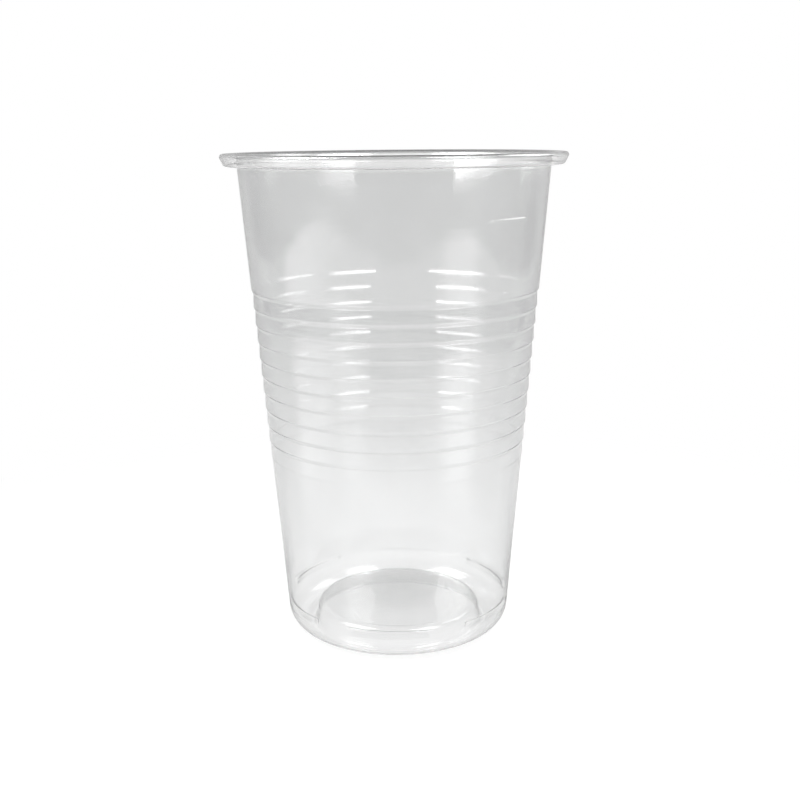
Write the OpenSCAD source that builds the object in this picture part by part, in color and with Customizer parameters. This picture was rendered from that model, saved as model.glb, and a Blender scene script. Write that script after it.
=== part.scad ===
// Clear disposable drinking cup, half a litre, formed from one plastic sheet.
// The foot stands on Z = 0, the axis is Z and the front is -Y.

/* [Cup] */
// Height from the foot to the top of the rim
cup_height = 136; // [126:1:146]
// Thickness of the formed sheet
sheet_t = 0.35; // [0.3:0.05:0.5]

/* [Rim] */
// Diameter over the rolled rim
rim_d = 95; // [94:0.1:98]
// How far the rim stands out from the wall
rim_reach = 4.35; // [3.8:0.05:4.8]
// Height of the rolled rim
rim_height = 3.4; // [3:0.1:4]
// How far the skirt of the rim leans in towards its lower edge
rim_lean = 1.5; // [1:0.1:1.8]
// Length of the lip that is tucked in under the rim
rim_tuck = 1.3; // [1.1:0.1:1.5]
// Radius between the wall and the top of the rim
neck_radius = 1.6; // [1.2:0.1:1.8]
// Radius of the two outer edges of the rim
rim_radius = 0.7; // [0.5:0.05:0.8]

/* [Grip rings] */
// Number of rings, each of which steps the wall in
ring_count = 11; // [7:1:12]
// Distance from one ring to the next
ring_pitch = 4.73; // [4.3:0.01:4.9]
// Depth of the first ring below the top of the rim
ring_drop = 37.2; // [34:0.1:40]
// How far a ring's lower edge stands out over the next ring
ring_relief = 0.43; // [0.3:0.01:0.5]
// Height of the slanting flank under a ring's lower edge
ring_flank = 0.9; // [0.8:0.05:1.2]
// Radius of a ring's lower edge
ring_radius = 0.6; // [0.4:0.05:0.8]
// Radius between a flank and the next ring
ring_root_radius = 1; // [0.6:0.1:1.4]
// How far the wall above the rings stands out from the line of the wall below them
shoulder_step = 0.25; // [0.1:0.05:0.4]

/* [Fill line] */
// Depth of the fill line below the top of the rim
fill_drop = 16.4; // [12:0.1:20]
// Length of the fill line round the wall
fill_length = 14.7; // [10:0.1:20]
// Height of the fill line
fill_width = 0.9; // [0.8:0.05:1.2]
// How far the fill line stands out from the wall
fill_relief = 0.25; // [0.2:0.05:0.3]
// Angle from the front to the middle of the fill line
fill_turn = 44.5; // [30:0.5:60]

/* [Stacking lugs] */
// Number of lugs pressed inwards round the wall
lug_count = 6; // [4:1:8]
// Share of the circle that the lugs take up
lug_share = 0.72; // [0.5:0.01:0.8]
// Angle by which the ring of lugs is turned
lug_turn = -4.4; // [-20:0.1:20]
// Gap between the height of the heel and the lugs
lug_gap = 0.1; // [0:0.1:2]
// Height of one lug, from where it runs out up to its ledge
lug_height = 2.8; // [2.4:0.1:3]
// Height in which the ledge of a lug turns in from the wall
lug_ledge = 0.5; // [0.4:0.05:0.7]
// How far a lug reaches into the cup
lug_reach = 0.8; // [0.6:0.05:0.9]

/* [Base] */
// Diameter of the base panel
panel_d = 46.4; // [44:0.1:48]
// Height of the base panel above the foot
push_up = 6; // [4.5:0.1:7]
// Width of the flat border round the panel's domed middle
dome_border = 5.2; // [3:0.1:8]
// Height of the panel's domed middle
dome_rise = 0.8; // [0.3:0.1:1.2]
// How far the side of the recess leans out from the panel to the foot
recess_flare = 1.1; // [0.5:0.1:1.5]
// Radius of the panel's edge and of the foot's inner edge
base_radius = 1.1; // [0.8:0.1:1.3]
// Width of the flat ring that the cup stands on
foot_land = 0.6; // [0.4:0.1:1.2]
// Radius of the heel between the foot and the wall
heel_radius = 6.5; // [5.5:0.1:7.5]

/* [Hidden] */
$fn = 128;
clear = [0.86, 0.88, 0.89, 0.45];

arc_step = 15; // largest turn of one straight piece of an arc
dome_steps = 4; // straight pieces from the panel's middle to the dome's edge
lip_rise = 0.3; // how far the tucked lip climbs towards the wall
press_radius = 0.2; // radius on the hollow side of a lug or line
cut_margin = 0.5; // how far a cut starts outside the sheet

half_t = sheet_t / 2;

// Heights that the pressed forms are placed by
shoulder_z = cup_height - ring_drop;
fill_z = cup_height - fill_drop;
rim_foot_z = cup_height - rim_height;
lug_foot_z = heel_radius + lug_gap;
lug_z = lug_foot_z + lug_height;

// The recess leans out to the foot, whose flat ring ends where the heel starts
panel_r = panel_d / 2;
dome_r = panel_r - dome_border;
recess_r = panel_r + recess_flare;
recess_angle = atan2(push_up, recess_flare);
heel_r = recess_r + base_radius * tan(recess_angle / 2) + foot_land;

// The wall is the straight line from under the rim that touches the heel
wall_top_r = rim_d / 2 - rim_reach;
wall_run = [wall_top_r - shoulder_step - heel_r, cup_height - heel_radius];
wall_draft = atan2(wall_run[0], wall_run[1]) - asin(heel_radius / norm(wall_run));
wall_inset = half_t / cos(wall_draft);

// The skirt's upper corner lies so that its rounded edge has the rim's diameter
skirt_angle = atan2(rim_lean, rim_height - sheet_t);
rim_edge_r = rim_d / 2 - half_t + rim_radius * (1 / tan(45 - skirt_angle / 2) - 1);
skirt_foot_r = rim_edge_r - rim_lean;

lug_span = 360 * lug_share / lug_count;
fill_span = fill_length / wall_r(fill_z) * 180 / PI;

// Outside radius at height z of the wall below the shoulder, and of the whole wall
function lower_r(z) = wall_top_r - shoulder_step - (cup_height - z) * tan(wall_draft);
function wall_r(z) = lower_r(z) + (z > shoulder_z ? shoulder_step : 0);

// Smooth rise from 0 to 1 and back, with one full rise at share 1
function ease(share) = (1 - cos(180 * share)) / 2;

// Plane vectors: unit length, a quarter turn to the left, and a turn by an angle
function unit(v) = v / norm(v);
function left_of(v) = [-v[1], v[0]];
function turned(v, angle) = v * cos(angle) + left_of(v) * sin(angle);

// Arc of radius r that replaces corner b of the line from a over b to c
function corner(a, b, c, r) =
    let (
        to_a = unit(a - b),
        to_c = unit(c - b),
        half_opening = acos(to_a * to_c) / 2,
        centre = b + unit(to_a + to_c) * r / sin(half_opening),
        start = b + to_a * r / tan(half_opening) - centre,
        side = left_of(to_a) * to_c > 0 ? -1 : 1,
        turn = side * (180 - 2 * half_opening),
        steps = max(2, ceil(abs(turn) / arc_step))
    )
    [for (i = [0 : steps]) centre + turned(start, turn * i / steps)];

// Line through the points, with inner point i rounded by radii[i - 1]
function rounded(points, radii) =
    let (last = len(points) - 1)
    concat(
        [points[0]],
        [
            for (i = [1 : last - 1])
                each corner(points[i - 1], points[i], points[i + 1], radii[i - 1])
        ],
        [points[last]]
    );

// Line without its first point, which the line before it ends with
function carried_on(line) = [for (i = [1 : len(line) - 1]) line[i]];

// Step from a middle line that leaves half the sheet on the left of both its pieces
function half_sheet(before, after) = half_t * (before + after) / (1 + before * after);

// Closed outline of a sheet that follows a middle line, which starts on the axis
function sheet(line) =
    let (
        last = len(line) - 1,
        normals = [for (i = [1 : last]) left_of(unit(line[i] - line[i - 1]))],
        across = [
            for (i = [0 : last])
                i == 0 ? [0, half_t] : half_sheet(normals[i - 1], normals[min(i, last - 1)])
        ]
    )
    concat(line + across, [for (i = [last : -1 : 0]) line[i] - across[i]]);

// Base panel from the axis to the edge of its dome
panel_line = [
    for (i = [0 : dome_steps - 1])
        let (share = i / dome_steps)
        [dome_r * share, push_up + half_t + dome_rise * ease(1 - share)]
];

// Panel's edge, recess, foot and heel, up to the wall above the lugs
base_line = rounded(
    [
        [dome_r, push_up + half_t],
        [panel_r, push_up + half_t],
        [recess_r, half_t],
        [lower_r(half_t) - wall_inset, half_t],
        [lower_r(lug_z) - wall_inset, lug_z]
    ],
    [base_radius, base_radius, heel_radius - half_t]
);

// Corners of the flanks between the rings, from the inner one of the lowest flank upwards
ring_corners = [
    for (ring = [ring_count - 1 : -1 : 0])
        let (
            z = shoulder_z - ring * ring_pitch,
            root_z = z - ring_flank / 2,
            edge_z = z + ring_flank / 2,
            root_r = ring == ring_count - 1 ? lower_r(root_z) : lower_r(z) - ring_relief / 2,
            edge_r = ring == 0 ? wall_r(edge_z) : lower_r(z) + ring_relief / 2
        )
        each [[root_r - wall_inset, root_z], [edge_r - wall_inset, edge_z]]
];

// Wall from above the lugs over the rings to the fill line
ring_line = rounded(
    concat(
        [[lower_r(lug_z) - wall_inset, lug_z]],
        ring_corners,
        [[wall_r(fill_z) - wall_inset, fill_z]]
    ),
    [for (ring = [1 : ring_count]) each [ring_root_radius, ring_radius]]
);

// Rolled rim, over the top and down the skirt to the tucked lip
rim_line = rounded(
    [
        [wall_r(fill_z) - wall_inset, fill_z],
        [wall_r(cup_height - half_t) - wall_inset, cup_height - half_t],
        [rim_edge_r, cup_height - half_t],
        [skirt_foot_r, rim_foot_z + half_t],
        [skirt_foot_r - rim_tuck, rim_foot_z + half_t + lip_rise]
    ],
    [neck_radius, rim_radius, rim_radius]
);

// Point where a line from p along d meets the surface at the given depth in the wall
function to_wall(p, d, depth) =
    p + d * (wall_r(p[1]) - depth - p[0]) / (d[0] - tan(wall_draft) * d[1]);

// Outline of a pressed form, given on the wall's outside by its low end, tip and high end.
// It is moved by t into the cup, and it is closed along the surface at the given depth.
function pressed(low, tip, high, t, radius, depth) =
    let (
        to_low = unit(low - tip),
        to_high = unit(high - tip),
        half_opening = acos(to_low * to_high) / 2,
        middle = unit(to_low + to_high),
        inwards = middle[0] > 0 ? -middle : middle,
        moved = tip + inwards * t / sin(half_opening)
    )
    rounded([to_wall(moved, to_low, depth), moved, to_wall(moved, to_high, depth)], [radius]);

// Low end, tip and high end of a lug and of the fill line
lug_points = [
    [wall_r(lug_foot_z), lug_foot_z],
    [wall_r(lug_z) - lug_reach, lug_z - lug_ledge],
    [wall_r(lug_z), lug_z]
];
fill_points = [
    [wall_r(fill_z - fill_width / 2), fill_z - fill_width / 2],
    [wall_r(fill_z) + fill_relief, fill_z],
    [wall_r(fill_z + fill_width / 2), fill_z + fill_width / 2]
];

// Turns a section over an arc, with its middle at an angle from the front
module arc_of(middle, span) {
    rotate([0, 0, middle - 90 - span / 2])
        rotate_extrude(angle = span)
            children();
}

// Repeats an arc for every lug, less an end wall on both sides
module lugs(end_wall) {
    for (i = [0 : lug_count - 1])
        arc_of(i * 360 / lug_count + lug_turn, lug_span - 2 * end_wall / wall_r(lug_z) * 180 / PI)
            children();
}

// Fill line's arc, less an end wall on both sides
module fill_line(end_wall) {
    arc_of(fill_turn, fill_span - 2 * end_wall / wall_r(fill_z) * 180 / PI)
        children();
}

// The whole cup as one sheet turned about the axis
module body() {
    rotate_extrude()
        polygon(sheet(concat(panel_line, base_line, carried_on(ring_line), carried_on(rim_line))));
}

// Bulges that the lugs and the fill line make on the side they are pressed to
module bulges() {
    lugs(0)
        polygon(pressed(lug_points[0], lug_points[1], lug_points[2],
            sheet_t, press_radius + sheet_t, half_t));
    fill_line(0)
        polygon(pressed(fill_points[0], fill_points[1], fill_points[2],
            0, press_radius + sheet_t, half_t));
}

// Hollows behind the bulges, which leave the sheet's thickness
module hollows() {
    lugs(sheet_t)
        polygon(pressed(lug_points[0], lug_points[1], lug_points[2],
            0, press_radius, -cut_margin));
    fill_line(sheet_t)
        polygon(pressed(fill_points[0], fill_points[1], fill_points[2],
            sheet_t, press_radius, sheet_t + cut_margin));
}

module cup() {
    color(clear)
        difference() {
            union() {
                body();
                bulges();
            }
            hollows();
        }
}

cup();
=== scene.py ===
"""Clear disposable drinking cup, half a litre, formed from one thin sheet of plastic.

The sheet runs from the pushed-up base over the heel, the stacking lugs and the grip rings to
the curled rim. Lengths are in metres, the foot stands on Z = 0 and the front is -Y.
"""

import logging
import math
from dataclasses import dataclass, field
from enum import Enum

import bpy
from mathutils import Matrix, Vector


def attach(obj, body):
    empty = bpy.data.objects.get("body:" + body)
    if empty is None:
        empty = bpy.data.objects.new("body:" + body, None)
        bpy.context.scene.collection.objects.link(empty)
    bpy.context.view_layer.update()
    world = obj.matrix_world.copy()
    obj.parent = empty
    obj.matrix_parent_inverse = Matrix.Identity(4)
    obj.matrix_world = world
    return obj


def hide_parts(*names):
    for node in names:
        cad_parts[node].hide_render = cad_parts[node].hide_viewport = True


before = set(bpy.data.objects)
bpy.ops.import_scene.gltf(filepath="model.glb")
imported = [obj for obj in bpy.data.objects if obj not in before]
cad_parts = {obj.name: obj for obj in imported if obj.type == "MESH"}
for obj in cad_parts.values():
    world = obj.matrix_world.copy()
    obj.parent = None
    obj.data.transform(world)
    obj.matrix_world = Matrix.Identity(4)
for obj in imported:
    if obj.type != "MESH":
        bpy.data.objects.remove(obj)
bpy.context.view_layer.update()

MM = 0.001
BODY = "root"
NODE = "cup"
PICTURE_SIDE = 800

Point = tuple[float, float]
Span = tuple[float, float]
Grain = tuple[float, float, float]
Colour = tuple[float, float, float, float]

WHITE: Colour = (1.0, 1.0, 1.0, 1.0)
BLACK: Colour = (0.0, 0.0, 0.0, 1.0)

# Y of a level direction of length 1, between which it turns from beside the cup to behind it
BEHIND: Span = (0.45, 0.80)

log = logging.getLogger("cup")


# Plane geometry of the sheet's section, with points as (radius, height)


def ease(share: float) -> float:
    """Rises smoothly from 0 at share 0 to 1 at share 1, and falls again to share 2."""
    return (1.0 - math.cos(math.pi * share)) / 2.0


def smooth_step(low: float, high: float, value: float) -> float:
    """Tells how far a value is on its way from low to high, eased at both ends.

    Args:
        low: Value at which the result is 0.
        high: Value at which the result is 1; it may lie below low.
        value: Value to place.

    Returns:
        A number from 0 to 1.
    """
    share = min(1.0, max(0.0, (value - low) / (high - low)))
    return ease(share)


def spread(low: float, high: float, count: int) -> list[float]:
    """Gives count values at equal steps from low to high, both ends included."""
    return [low + (high - low) * i / (count - 1) for i in range(count)]


def corner(a: Point, b: Point, c: Point, radius: float, step: float) -> list[Point]:
    """Rounds corner b of the line from a over b to c.

    Args:
        a: Point before the corner.
        b: The corner.
        c: Point after the corner.
        radius: Radius of the arc.
        step: Largest turn of one piece of the arc, in radians.

    Returns:
        The points of the arc, from its start on a-b to its end on b-c.
    """
    to_a = (Vector(a) - Vector(b)).normalized()
    to_c = (Vector(c) - Vector(b)).normalized()
    half_opening = to_a.angle(to_c) / 2.0
    centre = Vector(b) + (to_a + to_c).normalized() * radius / math.sin(half_opening)
    arm = Vector(b) + to_a * radius / math.tan(half_opening) - centre
    side = -1.0 if to_a.x * to_c.y - to_a.y * to_c.x > 0.0 else 1.0
    turn = side * (math.pi - 2.0 * half_opening)
    steps = max(2, math.ceil(abs(turn) / step))
    arc = [centre + Matrix.Rotation(turn * i / steps, 2) @ arm for i in range(steps + 1)]
    return [(p.x, p.y) for p in arc]


def rounded(points: list[Point], radii: list[float], step: float) -> list[Point]:
    """Rounds every inner point of a line.

    Args:
        points: Corners of the line.
        radii: One radius for each inner corner.
        step: Largest turn of one piece of an arc, in radians.

    Returns:
        The points of the rounded line, with its two ends as they were.
    """
    line = [points[0]]
    for i, radius in enumerate(radii, start=1):
        line += corner(points[i - 1], points[i], points[i + 1], radius, step)
    return line + [points[-1]]


def left_normals(line: list[Point]) -> list[Vector]:
    """Gives each point of a line the step that is one unit away from both its pieces.

    Args:
        line: Points of the line, of which the first lies on the axis.

    Returns:
        A vector to the left of the line at each point.
    """
    sides = []
    for (r0, z0), (r1, z1) in zip(line, line[1:]):
        sides.append(Vector((z0 - z1, r1 - r0)).normalized())
    steps = [Vector((0.0, 1.0))]
    for before, after in zip(sides, sides[1:] + sides[-1:]):
        steps.append((before + after) / (1.0 + before.dot(after)))
    return steps


@dataclass
class Wall:
    """The conical wall, as the straight line on its outside below the shoulder.

    Attributes:
        top_radius: Outside radius at the height of the rim's top.
        height: Height of the rim's top.
        draft: Angle between the wall and the axis, in radians.
        sheet: Thickness of the sheet.
    """

    top_radius: float
    height: float
    draft: float
    sheet: float

    def outside(self, z: float) -> float:
        """Outside radius at height z."""
        return self.top_radius - (self.height - z) * math.tan(self.draft)

    def middle(self, z: float) -> float:
        """Radius of the middle of the sheet at height z."""
        return self.outside(z) - self.sheet / 2.0 / math.cos(self.draft)


@dataclass
class PushedBase:
    """Heel, foot ring, recess and domed panel at the bottom of the cup.

    Attributes:
        panel_d: Diameter of the panel.
        push_up: Height of the panel's underside over the foot.
        dome_border: Width of the flat border round the dome.
        dome_rise: Height of the dome over its border.
        recess_flare: How much wider the recess is at the foot than at the panel.
        panel_radius: Radius of the panel's edge.
        corner_radius: Radius of the recess's lower edge.
        foot_land: Width of the flat foot ring.
        heel_radius: Outside radius of the heel.
        dome_steps: Number of points on the dome, from its middle to its border.
    """

    panel_d: float = 46.4 * MM
    push_up: float = 6.0 * MM
    dome_border: float = 5.2 * MM
    dome_rise: float = 0.8 * MM
    recess_flare: float = 1.1 * MM
    panel_radius: float = 2.0 * MM
    corner_radius: float = 1.1 * MM
    foot_land: float = 0.6 * MM
    heel_radius: float = 6.5 * MM
    dome_steps: int = 7

    def heel_start(self) -> float:
        """Finds where the flat foot ring ends and the heel starts.

        Returns:
            Radius of that place.
        """
        lean = math.atan2(self.push_up, self.recess_flare)
        recess = self.panel_d / 2.0 + self.recess_flare
        return recess + self.corner_radius * math.tan(lean / 2.0) + self.foot_land

    def line(self, wall: Wall, top: float, step: float) -> list[Point]:
        """Follows the base from the axis over the heel up to the wall.

        Args:
            wall: The wall that the heel runs into.
            top: Height at which the line ends on the wall.
            step: Largest turn of one piece of an arc, in radians.

        Returns:
            Points of the middle of the sheet.
        """
        half = wall.sheet / 2.0
        panel = self.panel_d / 2.0
        dome = panel - self.dome_border
        floor = self.push_up + half
        dome_line = [
            (dome * share, floor + self.dome_rise * ease(1.0 - share))
            for share in spread(0.0, 1.0, self.dome_steps)
        ]
        edge = rounded(
            [
                dome_line[-1],
                (panel, floor),
                (panel + self.recess_flare, half),
                (wall.middle(half), half),
                (wall.middle(top), top),
            ],
            [self.panel_radius, self.corner_radius, self.heel_radius - half],
            step,
        )
        return dome_line[:-1] + edge


@dataclass
class StackingLugs:
    """Ring of lugs pressed inwards above the heel, which keep stacked cups apart.

    Attributes:
        count: Number of lugs.
        share: Share of the way round that the lugs take up.
        turn: Angle from the front to the middle of the first lug, in radians.
        gap: Distance from the heel to the lower end of the lugs.
        height: Height of a lug.
        ledge: Height that the ledge at the top of a lug takes up.
        reach: How far a lug goes in.
        end: Angle over which the ends of a lug run out, in radians.
        swell: Power of the curve from the lower end of a lug to its ledge.
        below: Distance from the lugs down to the first row of points.
        under_ledge: Distance from the ledge down to the last row on the slope.
        round_ledge: Distance from the ledge to the first and the last of its rows.
        slope_rows: Number of rows on the slope.
        ledge_rows: Number of rows at the ledge.
        end_columns: Number of columns at each end of a lug.
    """

    count: int = 6
    share: float = 0.72
    turn: float = math.radians(-4.4)
    gap: float = 0.1 * MM
    height: float = 2.8 * MM
    ledge: float = 0.5 * MM
    reach: float = 0.8 * MM
    end: float = math.radians(3.0)
    swell: float = 1.3
    below: float = 0.2 * MM
    under_ledge: float = 0.25 * MM
    round_ledge: float = 0.1 * MM
    slope_rows: int = 7
    ledge_rows: int = 8
    end_columns: int = 4

    def span(self) -> float:
        """Angle that one lug takes up, in radians."""
        return 2.0 * math.pi * self.share / self.count

    def rows(self, heel: float) -> list[float]:
        """Heights at which the sheet needs points to follow the lugs.

        Args:
            heel: Radius of the heel, above which the lugs start.

        Returns:
            Rising heights from below the lugs to above them.
        """
        low = heel + self.gap
        high = low + self.height
        tip = high - self.ledge
        slope = spread(low - self.below, tip - self.under_ledge, self.slope_rows)
        return slope + spread(tip - self.round_ledge, high + self.round_ledge, self.ledge_rows)

    def columns(self) -> list[float]:
        """Angles at which the sheet needs more points to follow the ends of the lugs.

        Returns:
            Angles at both ends of each lug, in radians from the front.
        """
        angles = []
        for i in range(self.count):
            middle = 2.0 * math.pi * i / self.count + self.turn
            for end in (-self.span() / 2.0, self.span() / 2.0):
                outer = middle + end
                inner = outer - math.copysign(self.end, end)
                angles += spread(min(inner, outer), max(inner, outer), self.end_columns)
        return angles

    def push(self, angle: float, z: float, heel: float) -> float:
        """How far a lug moves the sheet outwards at one place.

        Args:
            angle: Angle from the front, in radians.
            z: Height above the foot.
            heel: Radius of the heel, above which the lugs start.

        Returns:
            The move, which is zero or negative.
        """
        low = heel + self.gap
        high = low + self.height
        tip = high - self.ledge
        if not low < z < high:
            return 0.0
        pitch = 2.0 * math.pi / self.count
        off = abs((angle - self.turn + pitch / 2.0) % pitch - pitch / 2.0)
        along = smooth_step(self.span() / 2.0, self.span() / 2.0 - self.end, off)
        slant = (z - low) / (tip - low)
        up = math.sin(min(1.0, slant) * math.pi / 2.0) ** self.swell
        return -self.reach * along * up * smooth_step(high, tip, z)


@dataclass
class GripRings:
    """Bands under the plain upper wall, each of which steps the wall in with a short flank.

    Attributes:
        count: Number of steps.
        pitch: Distance from one step to the next.
        drop: Depth of the first step below the top of the rim.
        flank: Height that one step takes up.
        relief: How far one step goes in.
        shoulder: How far the plain upper wall stands outside the line of the lower wall.
        edge_radius: Radius of a step's outer edge.
        root_radius: Radius of a step's inner edge.
        fading: Shares of the relief that the lowest steps have, from the lowest up.
    """

    count: int = 11
    pitch: float = 4.73 * MM
    drop: float = 37.2 * MM
    flank: float = 0.9 * MM
    relief: float = 0.43 * MM
    shoulder: float = 0.25 * MM
    edge_radius: float = 0.6 * MM
    root_radius: float = 1.0 * MM
    fading: tuple[float, ...] = (0.6, 0.85)

    def step_in(self, ring: int) -> float:
        """How far one step goes in, counted from the top."""
        up = self.count - 1 - ring
        return self.relief * (self.fading[up] if up < len(self.fading) else 1.0)

    def line(self, wall: Wall, low: float, high: float, step: float) -> list[Point]:
        """Follows the wall over the bands, from below the lowest step to above the first.

        Args:
            wall: The wall that the bands stand on.
            low: Height at which the line starts.
            high: Height at which the line ends.
            step: Largest turn of one piece of an arc, in radians.

        Returns:
            Points of the middle of the sheet.
        """
        corners = [(wall.middle(low), low)]
        for ring in reversed(range(self.count)):
            z = wall.height - self.drop - ring * self.pitch
            root, edge = z - self.flank / 2.0, z + self.flank / 2.0
            inner = (wall.middle(z) - self.step_in(ring) / 2.0, root)
            outer = (wall.middle(z) + self.step_in(ring) / 2.0, edge)
            corners.append((wall.middle(root), root) if ring == self.count - 1 else inner)
            corners.append((wall.middle(edge) + self.shoulder, edge) if ring == 0 else outer)
        corners.append((wall.middle(high) + self.shoulder, high))
        return rounded(corners, [self.root_radius, self.edge_radius] * self.count, step)


@dataclass
class FillLine:
    """Short raised line that marks half a litre.

    Attributes:
        drop: Depth of the line below the top of the rim.
        length: Length of the line.
        width: Width of the line.
        relief: How far the line stands out.
        turn: Angle from the front to the middle of the line, in radians.
        end: Length over which the ends of the line run out.
        rows_share: Distance from its middle to the outer rows of points, as a share of the width.
        row_count: Number of rows over the line.
        end_columns: Number of columns at each end of the line.
    """

    drop: float = 16.4 * MM
    length: float = 14.7 * MM
    width: float = 0.9 * MM
    relief: float = 0.25 * MM
    turn: float = math.radians(44.5)
    end: float = 1.2 * MM
    rows_share: float = 0.6
    row_count: int = 9
    end_columns: int = 3

    def half_span(self, radius: float) -> float:
        """Angle from the middle of the line to its end, in radians."""
        return self.length / radius / 2.0

    def rows(self, height: float) -> list[float]:
        """Heights at which the sheet needs points to follow the line.

        Args:
            height: Height of the cup.

        Returns:
            Rising heights from below the line to above it.
        """
        z = height - self.drop
        reach = self.rows_share * self.width
        return spread(z - reach, z + reach, self.row_count)

    def columns(self, radius: float) -> list[float]:
        """Angles at which the sheet needs more points to follow the ends of the line.

        Args:
            radius: Outside radius of the wall at the line.

        Returns:
            Angles at the left end and at the right end, in radians from the front.
        """
        half, end = self.half_span(radius), self.end / radius
        left = spread(self.turn - half, self.turn - half + end, self.end_columns)
        right = spread(self.turn + half - end, self.turn + half, self.end_columns)
        return left + right

    def push(self, angle: float, z: float, height: float, radius: float) -> float:
        """How far the line moves the sheet outwards at one place.

        Args:
            angle: Angle from the front, in radians.
            z: Height above the foot.
            height: Height of the cup.
            radius: Outside radius of the wall at the line.

        Returns:
            The move, which is zero or positive.
        """
        off = abs(z - (height - self.drop)) / (self.width / 2.0)
        if off >= 1.0:
            return 0.0
        half = self.half_span(radius)
        aside = abs((angle - self.turn + math.pi) % (2.0 * math.pi) - math.pi)
        return self.relief * ease(1.0 - off) * smooth_step(half, half - self.end / radius, aside)


@dataclass
class RolledRim:
    """Rim that turns out over a flat top and down a leaning skirt to a tucked lip.

    Attributes:
        diameter: Outside diameter.
        reach: How far the rim stands out of the upper wall's line.
        height: Height from the top of the rim to the foot of the skirt.
        lean: How far the skirt leans in on its way down.
        tuck: How far the lip goes in from the foot of the skirt.
        lip_rise: How far the lip rises on that way.
        neck_radius: Radius of the curve from the wall to the flat top.
        edge_radius: Radius of the skirt's upper and lower edge.
    """

    diameter: float = 94.94 * MM
    reach: float = 4.32 * MM
    height: float = 3.4 * MM
    lean: float = 1.5 * MM
    tuck: float = 1.3 * MM
    lip_rise: float = 0.3 * MM
    neck_radius: float = 1.6 * MM
    edge_radius: float = 0.7 * MM

    def line(self, wall: Wall, step_out: float, start: float, step: float) -> list[Point]:
        """Follows the rim from the wall to the end of the lip.

        Args:
            wall: The wall that the rim turns out of.
            step_out: How far the upper wall stands outside the lower wall's line.
            start: Height at which the line starts on the wall.
            step: Largest turn of one piece of an arc, in radians.

        Returns:
            Points of the middle of the sheet.
        """
        half = wall.sheet / 2.0
        top = wall.height - half
        foot = wall.height - self.height + half
        skirt = math.atan2(self.lean, self.height - wall.sheet)
        sharp = self.edge_radius * (1.0 / math.tan(math.pi / 4.0 - skirt / 2.0) - 1.0)
        edge = self.diameter / 2.0 - half + sharp
        return rounded(
            [
                (wall.middle(start) + step_out, start),
                (wall.middle(top) + step_out, top),
                (edge, top),
                (edge - self.lean, foot),
                (edge - self.lean - self.tuck, foot + self.lip_rise),
            ],
            [self.neck_radius, self.edge_radius, self.edge_radius],
            step,
        )


# Finishes


class Coordinates(Enum):
    """Places that a shader can read its texture position from."""

    OBJECT = "Object"
    DIRECTION = "Generated"


class Mix(Enum):
    """Kinds of value that can be mixed, with the Mix node's sockets for low, high and result."""

    NUMBER = ("FLOAT", 2, 3, 0)
    COLOUR = ("RGBA", 6, 7, 2)


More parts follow.
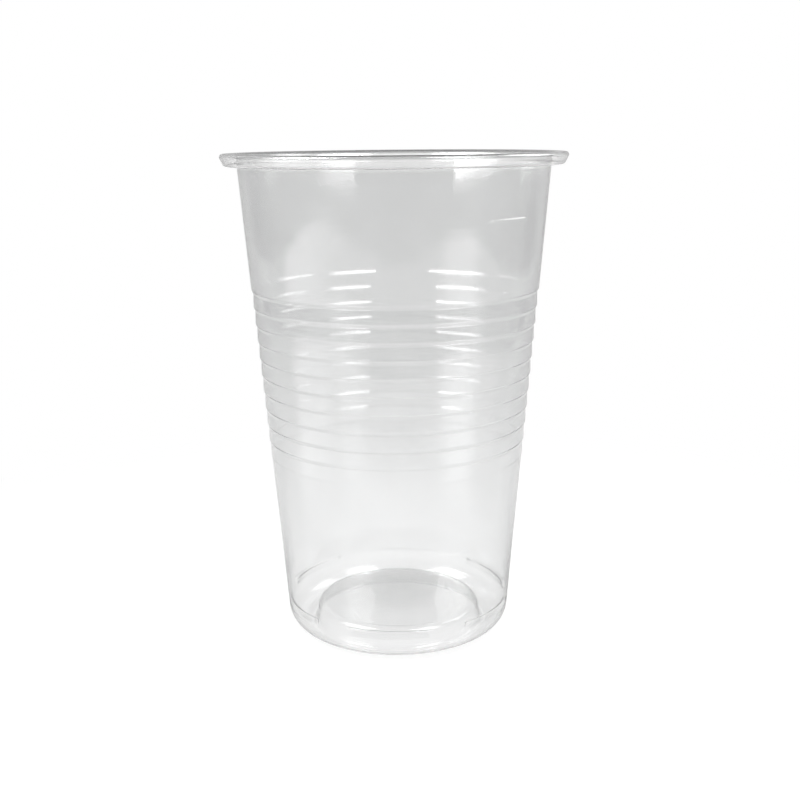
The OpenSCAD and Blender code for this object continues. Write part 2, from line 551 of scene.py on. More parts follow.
class Wiring:
    """Adds the nodes of one material, world or lamp and joins them.

    Attributes:
        tree: Node tree that is filled.
        noise_roughness: How strongly the finer layers of a noise show.
    """

    noise_roughness: float = 0.55

    def __init__(self, tree: bpy.types.NodeTree) -> None:
        """Starts on an empty tree.

        Args:
            tree: Node tree to fill.
        """
        self.tree = tree
        tree.nodes.clear()

    def add(self, kind: str, **settings: object) -> bpy.types.Node:
        """Adds one node.

        Args:
            kind: Type name of the node.
            **settings: Attributes of the node to set.

        Returns:
            The node.
        """
        node = self.tree.nodes.new(kind)
        for name, value in settings.items():
            setattr(node, name, value)
        return node

    def feed(self, node: bpy.types.Node, **inputs: object) -> bpy.types.Node:
        """Sets or links inputs of a node.

        Args:
            node: Node whose inputs are fed.
            **inputs: Values or output sockets by input name, with _ for a space.

        Returns:
            The same node.
        """
        for name, value in inputs.items():
            self.plug(node.inputs[name.replace("_", " ")], value)
        return node

    def plug(self, socket: bpy.types.NodeSocket, value: object) -> None:
        """Links an output socket to an input socket, or writes a plain value into it.

        Args:
            socket: The input socket.
            value: Output socket or plain value.
        """
        if isinstance(value, bpy.types.NodeSocket):
            self.tree.links.new(value, socket)
        else:
            socket.default_value = value

    def math(self, operation: str, a: object, b: object = 0.0) -> bpy.types.NodeSocket:
        """Adds a Math node.

        Args:
            operation: Name of the operation.
            a: First value or socket.
            b: Second value or socket.

        Returns:
            The result's socket.
        """
        node = self.add("ShaderNodeMath", operation=operation)
        self.plug(node.inputs[0], a)
        self.plug(node.inputs[1], b)
        return node.outputs[0]

    def mix(self, kind: Mix, factor: object, low: object, high: object) -> bpy.types.NodeSocket:
        """Mixes two values by a factor.

        Args:
            kind: Kind of the two values.
            factor: Share of high, from 0 to 1.
            low: Value or socket that is the result at factor 0.
            high: Value or socket that is the result at factor 1.

        Returns:
            The result's socket.
        """
        data_type, low_socket, high_socket, result = kind.value
        node = self.add("ShaderNodeMix", data_type=data_type, clamp_factor=True)
        self.plug(node.inputs[0], factor)
        self.plug(node.inputs[low_socket], low)
        self.plug(node.inputs[high_socket], high)
        return node.outputs[result]

    def between(self, factor: object, low: object, high: object) -> bpy.types.NodeSocket:
        """Mixes two numbers by a factor, which is the share of high."""
        return self.mix(Mix.NUMBER, factor, low, high)

    def blend(self, factor: object, low: object, high: object) -> bpy.types.NodeSocket:
        """Mixes two colours by a factor, which is the share of high."""
        return self.mix(Mix.COLOUR, factor, low, high)

    def ramp(self, value: object, low: float, high: float) -> bpy.types.NodeSocket:
        """Maps a value smoothly from 0 at low to 1 at high.

        Args:
            value: Value or socket.
            low: Value that gives 0.
            high: Value that gives 1.

        Returns:
            The result's socket.
        """
        node = self.add("ShaderNodeMapRange", interpolation_type="SMOOTHSTEP")
        self.feed(node, Value=value, From_Min=low, From_Max=high, To_Min=0.0, To_Max=1.0)
        return node.outputs["Result"]

    def place(self, source: Coordinates) -> bpy.types.NodeSocket:
        """Gives the position or direction that a texture is read at."""
        return self.add("ShaderNodeTexCoord").outputs[source.value]

    def apart(self, at: object) -> tuple[bpy.types.NodeSocket, ...]:
        """Takes a vector's socket apart into the sockets of its X, Y and Z."""
        return tuple(self.feed(self.add("ShaderNodeSeparateXYZ"), Vector=at).outputs)

    def bounced(self) -> bpy.types.NodeSocket:
        """Gives a socket that is 1 for rays that a surface has mirrored, and 0 for others."""
        return self.math("GREATER_THAN", self.add("ShaderNodeLightPath").outputs["Glossy Depth"], 0.5)

    def ray_kinds(self) -> tuple[bpy.types.NodeSocket, bpy.types.NodeSocket]:
        """Tells apart the rays that see the surroundings.

        Returns:
            A socket that is 1 for rays that the camera sees by, straight, through the cup or in
            it, and a socket that is 1 for those of them that the cup has mirrored.
        """
        path = self.add("ShaderNodeLightPath").outputs
        seen = self.math("MAXIMUM", path["Is Camera Ray"], path["Is Transmission Ray"])
        seen = self.math("MAXIMUM", seen, path["Is Glossy Ray"])
        return seen, self.math("MULTIPLY", seen, self.bounced())

    def noise(self, at: object, stretch: Grain, detail: float) -> bpy.types.NodeSocket:
        """Adds a noise texture.

        Args:
            at: Socket of the position.
            stretch: Grains per metre along X, Y and Z.
            detail: How many finer layers are laid over the grains.

        Returns:
            The noise's socket, around 0.5.
        """
        mapping = self.feed(self.add("ShaderNodeMapping"), Vector=at, Scale=stretch)
        node = self.add("ShaderNodeTexNoise")
        self.feed(node, Vector=mapping.outputs[0], Scale=1.0, Detail=detail, Roughness=self.noise_roughness)
        return node.outputs[0]


@dataclass(frozen=True)
class ClearPlastic:
    """Clear, faintly cloudy sheet with the marks that forming leaves on it, and painted light and shade in
    its colour.

    Attributes:
        thick: Colour of one wall near the rim, darker: partly the thicker sheet, partly painted shade.
        thin: Colour of one wall where the sheet was stretched thin, lighter: partly painted light.
        thin_z: Height below which the sheet is thin.
        thick_z: Height above which the sheet is thick.
        rim_painted_light: Lighter colour that one wall passes in the rim and its skirt: painted light.
        rim_painted_light_r: Distances from the axis between which the rim takes on that painted light.
        rim_painted_light_z: Heights between which the wall behind the skirt takes on that painted light as
            well.
        rim_line_painted_shade: Dark colour where the wall turns over into the rim: a painted shade line.
        rim_line_painted_shade_z: Heights between which it takes on that painted shade.
        panel: Darker colour that one wall passes in the middle of the base: painted shade.
        panel_r: Distances from the axis between which the panel takes on that painted shade.
        panel_top: Height that the panel stays below.
        foot_painted_light: Lighter colour that one wall passes round the foot: painted light.
        foot_painted_light_z: Heights between which it takes on that painted light.
        cloud: How far the clouds shift the colour between thick and thin.
        cloud_grain: Clouds per metre along X, Y and Z.
        clearness: Share of the light that isn't scattered in the sheet.
        ior: Index of refraction.
        gloss: Specular level, where 0.5 leaves the strength of the reflections to the index.
        polish: Roughness of the clearest places.
        wear: Roughness of the dullest places.
        ripple: Depth of the marks on the surface.
        drawn_grain: Marks of drawing up the wall, per metre along X, Y and Z.
        turned_grain: Marks round the wall, per metre along X, Y and Z.
        turned_share: Share of the marks round the wall among all marks.
        dust_grain: Grains of dust per metre along X, Y and Z.
        dusty: Noise between which dust begins to show.
        marked: Noise between which the marks dull the surface.
        swell_grain: Swellings of the surface per metre along X, Y and Z.
        mark_depth: Depth of the marks, as a share of that of the swellings.
    """

    thick: Colour = (0.832, 0.835, 0.835, 1.0)
    thin: Colour = (0.915, 0.918, 0.918, 1.0)
    thin_z: float = 30.0 * MM
    thick_z: float = 95.0 * MM
    rim_painted_light: Colour = (0.985, 0.985, 0.985, 1.0)
    rim_painted_light_r: Span = (44.6 * MM, 45.4 * MM)
    rim_painted_light_z: Span = (131.6 * MM, 132.6 * MM)
    rim_line_painted_shade: Colour = (0.55, 0.555, 0.555, 1.0)
    rim_line_painted_shade_z: Span = (134.7 * MM, 135.2 * MM)
    panel: Colour = (0.81, 0.813, 0.813, 1.0)
    panel_r: Span = (19.0 * MM, 3.8 * MM)
    panel_top: float = 10.0 * MM
    foot_painted_light: Colour = (0.972, 0.973, 0.973, 1.0)
    foot_painted_light_z: Span = (12.0 * MM, 3.6 * MM)
    cloud: float = 1.0
    cloud_grain: Grain = (70.0, 70.0, 45.0)
    clearness: float = 0.97
    ior: float = 1.49
    gloss: float = 0.8
    polish: float = 0.03
    wear: float = 0.10
    ripple: float = 0.02 * MM
    drawn_grain: Grain = (900.0, 900.0, 60.0)
    turned_grain: Grain = (28.0, 28.0, 950.0)
    turned_share: float = 0.7
    dust_grain: Grain = (2600.0, 2600.0, 2600.0)
    dusty: Span = (0.60, 0.75)
    marked: Span = (0.35, 0.75)
    swell_grain: Grain = (110.0, 110.0, 70.0)
    mark_depth: float = 0.25

    def tint(self, wires: Wiring, at: object) -> bpy.types.NodeSocket:
        """Gives each part of the sheet its colour: partly by its thickness, partly painted light and shade.

        Args:
            wires: Node tree of the material.
            at: Socket of the point's place.

        Returns:
            The colour's socket.
        """
        x, y, z = wires.apart(at)
        clouds = wires.math("SUBTRACT", wires.noise(at, self.cloud_grain, detail=3.0), 0.5)
        # Darker towards the top: partly the thicker sheet, partly painted shade.
        height = wires.ramp(z, self.thin_z, self.thick_z)
        shade = wires.math("ADD", height, wires.math("MULTIPLY", clouds, self.cloud))
        colour = wires.blend(shade, self.thin, self.thick)

        squares = wires.math("ADD", wires.math("MULTIPLY", x, x), wires.math("MULTIPLY", y, y))
        radius = wires.math("SQRT", squares)
        low = wires.math("LESS_THAN", z, self.panel_top)
        places = (
            # Painted light: the lowest part of the cup, round the foot, is lighter.
            (wires.ramp(z, *self.foot_painted_light_z), self.foot_painted_light),
            # Painted shade: the middle of the base panel is darker.
            (wires.math("MULTIPLY", wires.ramp(radius, *self.panel_r), low), self.panel),
            # Painted light: the wall behind the rim's skirt is lighter.
            (wires.ramp(z, *self.rim_painted_light_z), self.rim_painted_light),
            # Painted shade: a dark line where the wall turns over into the rim.
            (wires.ramp(z, *self.rim_line_painted_shade_z), self.rim_line_painted_shade),
            # Painted light: the rim and its skirt are lighter.
            (wires.ramp(radius, *self.rim_painted_light_r), self.rim_painted_light),
        )
        for share, own in places:
            colour = wires.blend(share, colour, own)
        return colour

    def material(self, name: str) -> bpy.types.Material:
        """Builds the material.

        Args:
            name: Name of the material.

        Returns:
            The material, with all its detail from nodes.
        """
        made = bpy.data.materials.new(name)
        made.use_nodes = True
        wires = Wiring(made.node_tree)
        at = wires.place(Coordinates.OBJECT)
        colour = self.tint(wires, at)

        streaks = wires.noise(at, self.drawn_grain, detail=2.0)
        turned = wires.noise(at, self.turned_grain, detail=2.0)
        marks = wires.between(self.turned_share, streaks, turned)
        dust = wires.ramp(wires.noise(at, self.dust_grain, detail=2.0), *self.dusty)
        dull = wires.between(dust, wires.ramp(marks, *self.marked), 1.0)
        roughness = wires.between(dull, self.polish, self.wear)

        swell = wires.noise(at, self.swell_grain, detail=1.0)
        relief = wires.math("ADD", swell, wires.math("MULTIPLY", marks, self.mark_depth))
        bump = wires.feed(wires.add("ShaderNodeBump"), Strength=1.0, Distance=self.ripple, Height=relief)

        skin = wires.feed(
            wires.add("ShaderNodeBsdfPrincipled"),
            Base_Color=colour,
            Roughness=roughness,
            IOR=self.ior,
            Specular_IOR_Level=self.gloss,
            Transmission_Weight=self.clearness,
            Normal=bump.outputs[0],
        )
        end = wires.add("ShaderNodeOutputMaterial")
        wires.feed(end, Surface=skin.outputs[0])
        return made


# The cup


@dataclass
class CupShell:
    """The whole cup as one closed sheet, turned about the axis.

    Attributes:
        height: Height from the foot to the top of the rim.
        sheet: Thickness of the sheet.
        rim: The curled rim.
        rings: The grip rings.
        fill: The fill line.
        lugs: The stacking lugs.
        base: The pushed-up base.
        finish: Finish of the sheet, with painted light and shade in its colour.
        columns: Number of even steps round the axis.
        arc_step: Largest turn of one piece of an arc, in radians.
        lip_steps: Steps round the cut edge of the sheet.
        guard: Distance from a pressed form to the next row of points.
        clear: Angle that even columns keep from the extra ones, in radians.
        pressed_from: Share of the wall's radius at the foot beyond which forms are pressed in.
    """

    height: float = 136.0 * MM
    sheet: float = 0.35 * MM
    rim: RolledRim = field(default_factory=RolledRim)
    rings: GripRings = field(default_factory=GripRings)
    fill: FillLine = field(default_factory=FillLine)
    lugs: StackingLugs = field(default_factory=StackingLugs)
    base: PushedBase = field(default_factory=PushedBase)
    finish: ClearPlastic = field(default_factory=ClearPlastic)
    columns: int = 196
    arc_step: float = math.radians(9.0)
    lip_steps: int = 4
    guard: float = 0.3 * MM
    clear: float = math.radians(0.45)
    pressed_from: float = 0.7

    def wall(self) -> Wall:
        """Lays the wall's line from under the rim so that it touches the heel.

        Returns:
            The wall.
        """
        top = self.rim.diameter / 2.0 - self.rim.reach - self.rings.shoulder
        out = top - self.base.heel_start()
        up = self.height - self.base.heel_radius
        draft = math.atan2(out, up) - math.asin(self.base.heel_radius / math.hypot(out, up))
        return Wall(top, self.height, draft, self.sheet)

    def fill_radius(self) -> float:
        """Outside radius of the wall's line at the fill line."""
        return self.wall().outside(self.height - self.fill.drop)

    def middle_line(self) -> list[Point]:
        """Follows the middle of the sheet from the axis to the end of the lip.

        Returns:
            Points of that line, by way of the base, the lugs, the rings and the fill line.
        """
        wall = self.wall()
        rows = self.lugs.rows(self.base.heel_radius)
        line = self.base.line(wall, rows[0], self.arc_step)
        line += [(wall.middle(z), z) for z in rows[1:]]
        marks = self.fill.rows(self.height)
        line += self.rings.line(wall, rows[-1] + self.guard, marks[0] - self.guard, self.arc_step)
        line += [(wall.middle(z) + self.rings.shoulder, z) for z in marks]
        start = marks[-1] + self.guard
        return line + self.rim.line(wall, self.rings.shoulder, start, self.arc_step)

    def angles(self) -> list[float]:
        """Spaces the columns of points round the axis, closer at the ends of small forms.

        Returns:
            Rising angles, in radians from the front.
        """
        turn = 2.0 * math.pi
        extra = [a % turn for a in self.lugs.columns() + self.fill.columns(self.fill_radius())]
        kept = list(extra)
        for i in range(self.columns):
            angle = turn * i / self.columns
            on_axis = i % (self.columns // 4) == 0
            gaps = (abs((angle - e + math.pi) % turn - math.pi) for e in extra)
            if on_axis or all(gap > self.clear for gap in gaps):
                kept.append(angle)
        return sorted(kept)

    def section(self) -> list[Point]:
        """Offsets the middle line to both sides and rounds the cut edge at the lip.

        Returns:
            Outline of the sheet, along its outside from the axis, round the lip and back.
        """
        line = self.middle_line()
        half = self.sheet / 2.0
        steps = left_normals(line)
        left = [Vector(p) + s * half for p, s in zip(line, steps)]
        right = [Vector(p) - s * half for p, s in zip(line, steps)]
        end, arm = Vector(line[-1]), -steps[-1] * half
        lip = [
            end + Matrix.Rotation(math.pi * i / self.lip_steps, 2) @ arm
            for i in range(1, self.lip_steps)
        ]
        return [(p.x, p.y) for p in right + lip + left[::-1]]

    def push(self, angle: float, z: float) -> float:
        """How far the lugs and the fill line move the sheet outwards at one place."""
        lug = self.lugs.push(angle, z, self.base.heel_radius)
        return lug + self.fill.push(angle, z, self.height, self.fill_radius())

    def points(self, section: list[Point], angles: list[float]) -> list[tuple[float, float, float]]:
        """Turns the section about the axis and presses the lugs and the fill line into it.

        Args:
            section: Outline of the sheet, with both ends on the axis.
            angles: Angles of the columns.

        Returns:
            The first end, all rings of points along the section, and the last end.
        """
        wall_r = self.pressed_from * self.wall().outside(0.0)
        points = [(0.0, 0.0, section[0][1])]
        for r, z in section[1:-1]:
            for angle in angles:
                radius = r + (self.push(angle, z) if r > wall_r else 0.0)
                points.append((radius * math.sin(angle), -radius * math.cos(angle), z))
        return points + [(0.0, 0.0, section[-1][1])]

    def faces(self, rings: int, turn: int) -> list[tuple[int, ...]]:
        """Joins the points that points() gives.

        Args:
            rings: Number of rings of points between the two ends.
            turn: Number of points in each ring.

        Returns:
            Four-sided faces between the rings and three-sided ones at both ends.
        """
        last_ring = 1 + (rings - 1) * turn
        last = last_ring + turn
        faces: list[tuple[int, ...]] = []
        for j in range(turn):
            k = (j + 1) % turn
            faces.append((0, 1 + k, 1 + j))
            for low in range(1, last_ring, turn):
                high = low + turn
                faces.append((low + j, low + k, high + k, high + j))
            faces.append((last_ring + j, last_ring + k, last))
        return faces

    def build(self) -> bpy.types.Object:
        """Builds the sheet's mesh.

        Returns:
            The object, without its finish.
        """
        section = self.section()
        angles = self.angles()
        mesh = bpy.data.meshes.new("cup_sheet")
        mesh.from_pydata(self.points(section, angles), [], self.faces(len(section) - 2, len(angles)))
        mesh.validate()
        mesh.shade_smooth()
        shell = bpy.data.objects.new("cup_sheet", mesh)
        bpy.context.collection.objects.link(shell)
        shell.modifiers.new("flat stretches stay flat", "WEIGHTED_NORMAL")
        mesh.calc_loop_triangles()
        count = len(mesh.loop_triangles)
        log.info("sheet: %d rows, %d columns, %d triangles", len(section), len(angles), count)
        return shell

    def dress(self, shell: bpy.types.Object) -> None:
        """Gives the sheet its finish and its place in the frame.

        Args:
            shell: The sheet's object.
        """
        shell.data.materials.append(self.finish.material("clear formed plastic"))
        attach(shell, BODY)
        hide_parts(NODE)
        log.info("sheet: dressed in %s", shell.data.materials[0].name)


# The studio


@dataclass(frozen=True)
class Room:
    """White surroundings that light the cup softly, of which it mirrors only a dim room.

    Attributes:
        white: Strength of the background, where 1 is white.
        soft: Strength of the light that comes from all sides.
        dim: Strength of the room in the cup's mirror images, in front of it and beside it.
        back: Strength of the room in the cup's mirror images, behind it.
    """

    white: float = 1.0
    soft: float = 0.45
    dim: float = 0.12
    back: float = 0.57

    def hang(self) -> None:
        """Makes the world."""
        world = bpy.data.worlds.new("room")
        world.use_nodes = True
        bpy.context.scene.world = world
        wires = Wiring(world.node_tree)
        seen, mirrored = wires.ray_kinds()
        _, backwards, _ = wires.apart(wires.place(Coordinates.DIRECTION))
        image = wires.between(wires.ramp(backwards, *BEHIND), self.dim, self.back)
        strength = wires.between(mirrored, wires.between(seen, self.soft, self.white), image)
        glow = wires.feed(wires.add("ShaderNodeBackground"), Color=WHITE, Strength=strength)
        wires.feed(wires.add("ShaderNodeOutputWorld"), Surface=glow.outputs[0])
        log.info("room: hung")


@dataclass
class PaperFloor:
    """Wide white floor, of which the cup mirrors only a rounded stretch of painted light, with painted
    pools.

    Attributes:
        side: Length of the floor's sides.
        middle: X of the middle of the lit stretch.
        half_width: Half the width of the lit stretch.
        half_depth: How far the lit stretch reaches to the front.
        fullness: Power of the rounded outline, where 2 is an ellipse.
        fade: Share of the reach over which the stretch fades out.
        bright: Strength of the lit stretch in the mirror images, in front of the cup.
        shaded: Strength of the lit stretch in the mirror images, beside the cup.
        shaded_y: Y between which its strength changes from the one to the other.
        pool: Strength of the floor's painted pools of light in the mirror images, where the soft boxes are
            nearest.
        pools: Middle and half width of each of these places, as angles from the front in degrees.
        pool_core: Share of the half width over which a place is fully bright.
        pool_reach: Distances from the cup's axis between which these places grow bright.
        dim: Strength of what lies beyond it in the mirror images.
        back: Strengths of the floor behind the cup in the mirror images, near it and far away.
        back_reach: Distances from the cup's axis at which these strengths are reached.
        shadow: Share of the floor's brightness that a shadow can take away near the cup.
        shadow_fade: Distances from the cup's axis between which shadows fade out.
        under: Share of the floor's brightness that a shadow can take away under the cup.
        under_edge: Distances from the cup's axis between which that stretch ends.
        glow_loss: How much of its own glow the floor gives up where it shows shadows.
        white: Colour of the floor.
        fibre: Colour of the fibres in it.
        fibre_grain: Fibres per metre along X, Y and Z.
        fibred: Noise between which the fibres begin to show.
    """

    side: float = 8.0
    middle: float = -0.03
    half_width: float = 0.56
    half_depth: float = 0.455
    fullness: float = 3.5
    fade: float = 0.10
    bright: float = 1.0
    shaded: float = 0.62
    shaded_y: Span = (-0.10, 0.05)
    pool: float = 2.0
    pools: tuple[Span, ...] = ((49.0, 21.0), (-71.0, 26.0))
    pool_core: float = 0.25
    pool_reach: Span = (0.06, 0.28)
    dim: float = 0.12
    back: Span = (0.94, 0.69)
    back_reach: Span = (0.08, 0.60)
    shadow: float = 0.30
    shadow_fade: Span = (0.05, 0.22)
    under: float = 0.04
    under_edge: Span = (0.027, 0.033)
    glow_loss: float = 0.75
    white: Colour = (0.80, 0.80, 0.80, 1.0)
    fibre: Colour = (0.77, 0.77, 0.77, 1.0)
    fibre_grain: Grain = (900.0, 900.0, 900.0)
    fibred: Span = (0.3, 0.7)

    def beyond(self, wires: Wiring, x: object, y: object) -> bpy.types.NodeSocket:
        """Tells where a point lies beyond the lit stretch.

        Args:
            wires: Node tree of the floor's material.
            x: Socket of the point's X.
            y: Socket of the point's Y.

        Returns:
            A socket that is 0 inside the lit stretch and 1 beyond it.
        """
        aside = wires.math("ABSOLUTE", wires.math("SUBTRACT", x, self.middle))
        across = wires.math("POWER", wires.math("DIVIDE", aside, self.half_width), self.fullness)
        front = wires.math("MAXIMUM", wires.math("DIVIDE", y, -self.half_depth), 0.0)
        reach = wires.math("ADD", across, wires.math("POWER", front, self.fullness))
        return wires.ramp(wires.math("POWER", reach, 1.0 / self.fullness), 1.0 - self.fade, 1.0)

    def in_pool(self, wires: Wiring, x: object, y: object) -> bpy.types.NodeSocket:
        """Tells where a point lies in one of the brighter places.

        Args:
            wires: Node tree of the floor's material.
            x: Socket of the point's X.
            y: Socket of the point's Y.

        Returns:
            A socket that is 1 in the middle of a place and 0 outside.
        """
        angle = wires.math("ARCTAN2", x, wires.math("MULTIPLY", y, -1.0))
        share: object = 0.0
        for middle, half in self.pools:
            off = wires.math("ABSOLUTE", wires.math("SUBTRACT", angle, math.radians(middle)))
            edge = math.radians(half)
            share = wires.math("MAXIMUM", share, wires.ramp(off, edge, self.pool_core * edge))
        return share

    def plain(self, wires: Wiring, at: object, away: object, seen: object) -> bpy.types.NodeSocket:
        """Gives the floor as it looks straight and through the cup: white, with soft shadows.

        Args:
            wires: Node tree of the floor's material.
            at: Socket of the point's place.
            away: Socket of its distance from the cup's axis.
            seen: Socket that is 1 for rays that the camera sees by.

        Returns:
            The shader's socket.
        """
        matt_share = wires.between(wires.ramp(away, *self.shadow_fade), self.shadow, 0.0)
        matt_share = wires.between(wires.ramp(away, *self.under_edge), self.under, matt_share)
        matt_share = wires.between(seen, 1.0, matt_share)
        fibres = wires.ramp(wires.noise(at, self.fibre_grain, detail=3.0), *self.fibred)
        tone = wires.blend(matt_share, BLACK, wires.blend(fibres, self.white, self.fibre))
        matt = wires.feed(wires.add("ShaderNodeBsdfDiffuse"), Color=tone)
        glow_share = wires.math("SUBTRACT", 1.0, wires.math("MULTIPLY", matt_share, self.glow_loss))
        strength = wires.math("MULTIPLY", seen, glow_share)
        glow = wires.feed(wires.add("ShaderNodeEmission"), Strength=strength)
        paper = wires.add("ShaderNodeAddShader")
        wires.plug(paper.inputs[0], matt.outputs[0])
        wires.plug(paper.inputs[1], glow.outputs[0])
        return paper.outputs[0]

    def image(self, wires: Wiring, at: object, away: object) -> bpy.types.NodeSocket:
        """Gives the floor as it looks in the cup's mirror images, with its painted light and pools.

        Args:
            wires: Node tree of the floor's material.
            at: Socket of the point's place.
            away: Socket of its distance from the cup's axis.

        Returns:
            The shader's socket.
        """
        x, y, _ = wires.apart(at)
        # Painted light: a lit stretch and brighter pools near the soft boxes, seen only in mirror images.
        lit = wires.between(wires.ramp(y, *self.shaded_y), self.bright, self.shaded)
        pooled = wires.math("MULTIPLY", self.in_pool(wires, x, y), wires.ramp(away, *self.pool_reach))
        lit = wires.between(pooled, lit, self.pool)
        lit = wires.between(self.beyond(wires, x, y), lit, self.dim)
        behind = wires.between(wires.ramp(away, *self.back_reach), *self.back)
        strength = wires.between(wires.ramp(wires.math("DIVIDE", y, away), *BEHIND), lit, behind)
        return wires.feed(wires.add("ShaderNodeEmission"), Strength=strength).outputs[0]

    def material(self) -> bpy.types.Material:
        """Builds the floor's material.

        Returns:
            The material.
        """
        made = bpy.data.materials.new("paper")
        made.use_nodes = True
        wires = Wiring(made.node_tree)
        at = wires.place(Coordinates.OBJECT)
        length = wires.feed(wires.add("ShaderNodeVectorMath", operation="LENGTH"), Vector=at)
        away = length.outputs["Value"]
        seen, mirrored = wires.ray_kinds()
        floor = wires.add("ShaderNodeMixShader")
        wires.plug(floor.inputs[0], mirrored)
        wires.plug(floor.inputs[1], self.plain(wires, at, away, seen))
        wires.plug(floor.inputs[2], self.image(wires, at, away))
        wires.feed(wires.add("ShaderNodeOutputMaterial"), Surface=floor.outputs[0])
        return made

    def lay(self) -> bpy.types.Object:
        """Lays the floor under the cup.

        Returns:
            The floor's object.
        """
        half = self.side / 2.0
        mesh = bpy.data.meshes.new("floor")
        corners = [(-half, -half, 0.0), (half, -half, 0.0), (half, half, 0.0), (-half, half, 0.0)]
        mesh.from_pydata(corners, [], [(0, 1, 2, 3)])
        mesh.materials.append(self.material())
        floor = bpy.data.objects.new("floor", mesh)
        bpy.context.collection.objects.link(floor)
        log.info("floor: laid, %.1f m wide", self.side)
        return floor


@dataclass
class SoftBox:
    """Rectangular soft light that faces the cup.

    Attributes:
        name: Name of the light.
        azimuth: Angle from the front to its middle, towards +X, in degrees.
        elevation: Angle from the horizon to its middle, in degrees.
        distance: Distance from the cup's middle.
        width: Width of its face.
        height: Height of its face.
        radiance: Brightness of its face, where 1 is white.
        glint: How much brighter its face is in the cup's mirror images.
        low_fade: Share of the face's height over which its lower edge fades in.
        outer_fade: Share of the face's width over which the edge away from the front fades out.
        edge_share: Share of the brightness that is left at these two edges.
        dull: Start and end of the face's duller stretch in mirror images, where its lower edge
            is -0.5 and its upper edge 0.5.
        dull_fade: Share of the face's height over which this stretch fades in and out.
        dull_share: Share of the brightness that is left in this stretch.
    """

    name: str
    azimuth: float
    elevation: float
    distance: float
    width: float
    height: float
    radiance: float
    glint: float = 2.3
    low_fade: float = 0.13
    outer_fade: float = 0.40
    edge_share: float = 0.25
    dull: Span = (-0.37, -0.19)
    dull_fade: float = 0.05
    dull_share: float = 0.06

    def face(self, lamp: bpy.types.Light, light: bpy.types.Object) -> None:
        """Makes the face brighter in mirror images, with two soft edges and a duller stretch.

        Args:
            lamp: The light's data.
            light: The light's object, in place.
        """
        lamp.use_nodes = True
        wires = Wiring(lamp.node_tree)
        turn = light.rotation_quaternion
        upwards = turn @ Vector((0.0, 1.0, 0.0))
        outwards = turn @ Vector((math.copysign(1.0, self.azimuth), 0.0, 0.0))
        offset = wires.add("ShaderNodeVectorMath", operation="SUBTRACT")
        wires.plug(offset.inputs[0], wires.add("ShaderNodeNewGeometry").outputs["Position"])
        wires.plug(offset.inputs[1], light.location)
        shares = []
        for axis, length in ((upwards, self.height), (outwards, self.width)):
            dot = wires.add("ShaderNodeVectorMath", operation="DOT_PRODUCT")
            wires.plug(dot.inputs[0], offset.outputs[0])
            wires.plug(dot.inputs[1], axis)
            shares.append(wires.math("DIVIDE", dot.outputs["Value"], length))
        up, out = shares
        start, end = self.dull
        dull = wires.math(
            "MULTIPLY",
            wires.ramp(up, start, start + self.dull_fade),
            wires.ramp(up, end, end - self.dull_fade),
        )
        bright: object = self.glint
        for factor in (
            wires.between(wires.ramp(up, -0.5, -0.5 + self.low_fade), self.edge_share, 1.0),
            wires.between(wires.ramp(out, 0.5, 0.5 - self.outer_fade), self.edge_share, 1.0),
            wires.between(dull, 1.0, self.dull_share),
        ):
            bright = wires.math("MULTIPLY", bright, factor)
        strength = wires.between(wires.bounced(), 1.0, bright)
        glow = wires.feed(wires.add("ShaderNodeEmission"), Color=WHITE, Strength=strength)
        wires.feed(wires.add("ShaderNodeOutputLight"), Surface=glow.outputs[0])

    def hang(self, aim: Vector) -> bpy.types.Object:
        """Places the light.

        Args:
            aim: Point that the light faces.

        Returns:
            The light's object.
        """
        lamp = bpy.data.lights.new(self.name, "AREA")
        lamp.shape = "RECTANGLE"
        lamp.size, lamp.size_y = self.width, self.height
        lamp.energy = self.radiance * math.pi * self.width * self.height
        light = bpy.data.objects.new(self.name, lamp)
        bpy.context.collection.objects.link(light)
        turn, lift = math.radians(self.azimuth), math.radians(self.elevation)
        way = Vector((math.sin(turn) * math.cos(lift), -math.cos(turn) * math.cos(lift), math.sin(lift)))
        light.location = aim + way * self.distance
        light.rotation_mode = "QUATERNION"
        light.rotation_quaternion = way.to_track_quat("Z", "Y")
        light.visible_camera = False
        self.face(lamp, light)
        log.info("%s: hung at %s", self.name, tuple(round(v, 3) for v in light.location))
        return light


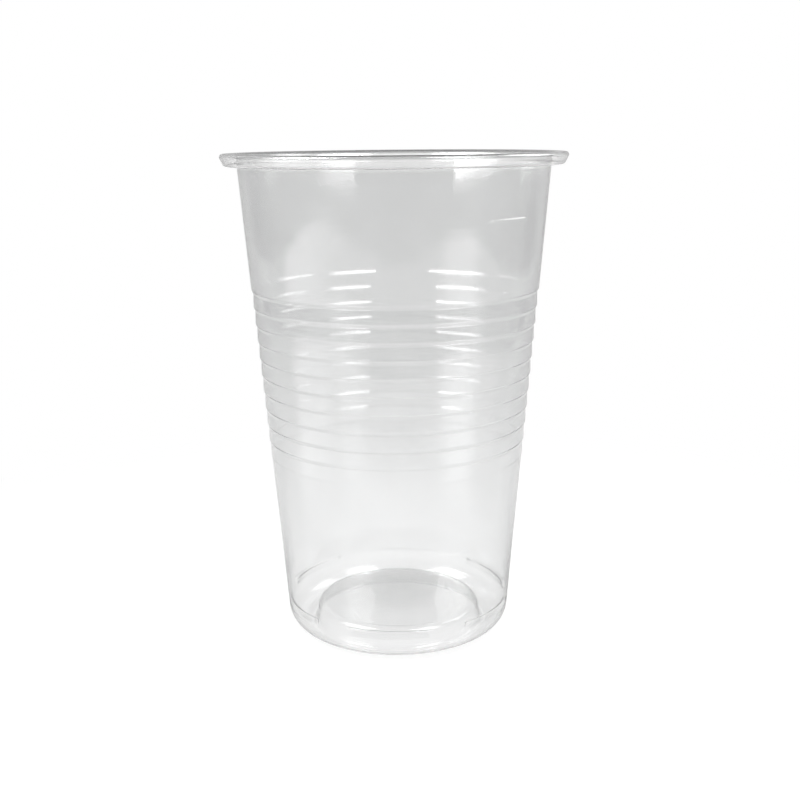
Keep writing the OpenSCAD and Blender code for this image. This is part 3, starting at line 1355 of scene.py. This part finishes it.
@dataclass
class StillCamera:
    """Camera of the picture, close to the cup and just above its rim.

    Attributes:
        focus: Focal length in pixels of the square picture.
        back: Distance in front of the cup's axis.
        rise: Height above the foot.
        pitch: Angle by which it looks down, in radians.
        yaw: Angle by which it is turned to the right, in radians.
        roll: Angle by which it leans to the right, in radians.
        sensor: Width of the sensor in millimetres.
        clip: Distances between which the camera sees.
    """

    focus: float = 1151.67
    back: float = 322.5 * MM
    rise: float = 141.24 * MM
    pitch: float = 0.2283
    yaw: float = 0.00326
    roll: float = 0.0086
    sensor: float = 36.0
    clip: Span = (0.01, 50.0)

    def stand(self) -> bpy.types.Object:
        """Sets the camera up and makes it the scene's.

        Returns:
            The camera's object.
        """
        data = bpy.data.cameras.new("camera")
        data.sensor_fit = "HORIZONTAL"
        data.sensor_width = self.sensor
        data.lens = self.focus * self.sensor / PICTURE_SIDE
        data.clip_start, data.clip_end = self.clip
        camera = bpy.data.objects.new("camera", data)
        bpy.context.collection.objects.link(camera)
        tilt = Matrix.Rotation(math.pi / 2.0 - self.pitch, 4, "X")
        turn = Matrix.Rotation(-self.yaw, 4, "Z") @ tilt
        place = Matrix.Translation((0.0, -self.back, self.rise))
        camera.matrix_world = place @ turn @ Matrix.Rotation(-self.roll, 4, "Z")
        bpy.context.scene.camera = camera
        log.info("camera: %.1f mm lens", data.lens)
        return camera


@dataclass
class Studio:
    """Floor, room, lights and camera.

    Attributes:
        room: The surroundings.
        floor: The floor.
        camera: The camera.
        aim: Height above the foot that the lights face.
        lights: The lights.
    """

    room: Room = field(default_factory=Room)
    floor: PaperFloor = field(default_factory=PaperFloor)
    camera: StillCamera = field(default_factory=StillCamera)
    aim: float = 0.08
    lights: list[SoftBox] = field(
        default_factory=lambda: [
            SoftBox(
                name="right softbox", azimuth=49.0, elevation=35.2, distance=0.60,
                width=0.36, height=0.562, radiance=4.5,
            ),
            SoftBox(
                name="left softbox", azimuth=-71.0, elevation=35.2, distance=0.60,
                width=0.46, height=0.562, radiance=5.5, low_fade=0.05,
            ),
            SoftBox(
                name="right strip", azimuth=114.0, elevation=36.0, distance=0.60,
                width=0.38, height=0.36, radiance=3.0, glint=1.5, dull_share=1.0,
            ),
        ]
    )

    def set_up(self) -> None:
        """Sets everything up round the cup."""
        self.room.hang()
        self.floor.lay()
        for light in self.lights:
            light.hang(Vector((0.0, 0.0, self.aim)))
        self.camera.stand()
        bpy.context.scene.view_settings.view_transform = "Standard"


def main() -> None:
    """Builds the cup and then the studio round it."""
    logging.basicConfig(level=logging.INFO, format="%(name)s: %(message)s")
    cup = CupShell()
    shell = cup.build()
    cup.dress(shell)
    Studio().set_up()


if __name__ == "__main__":
    main()
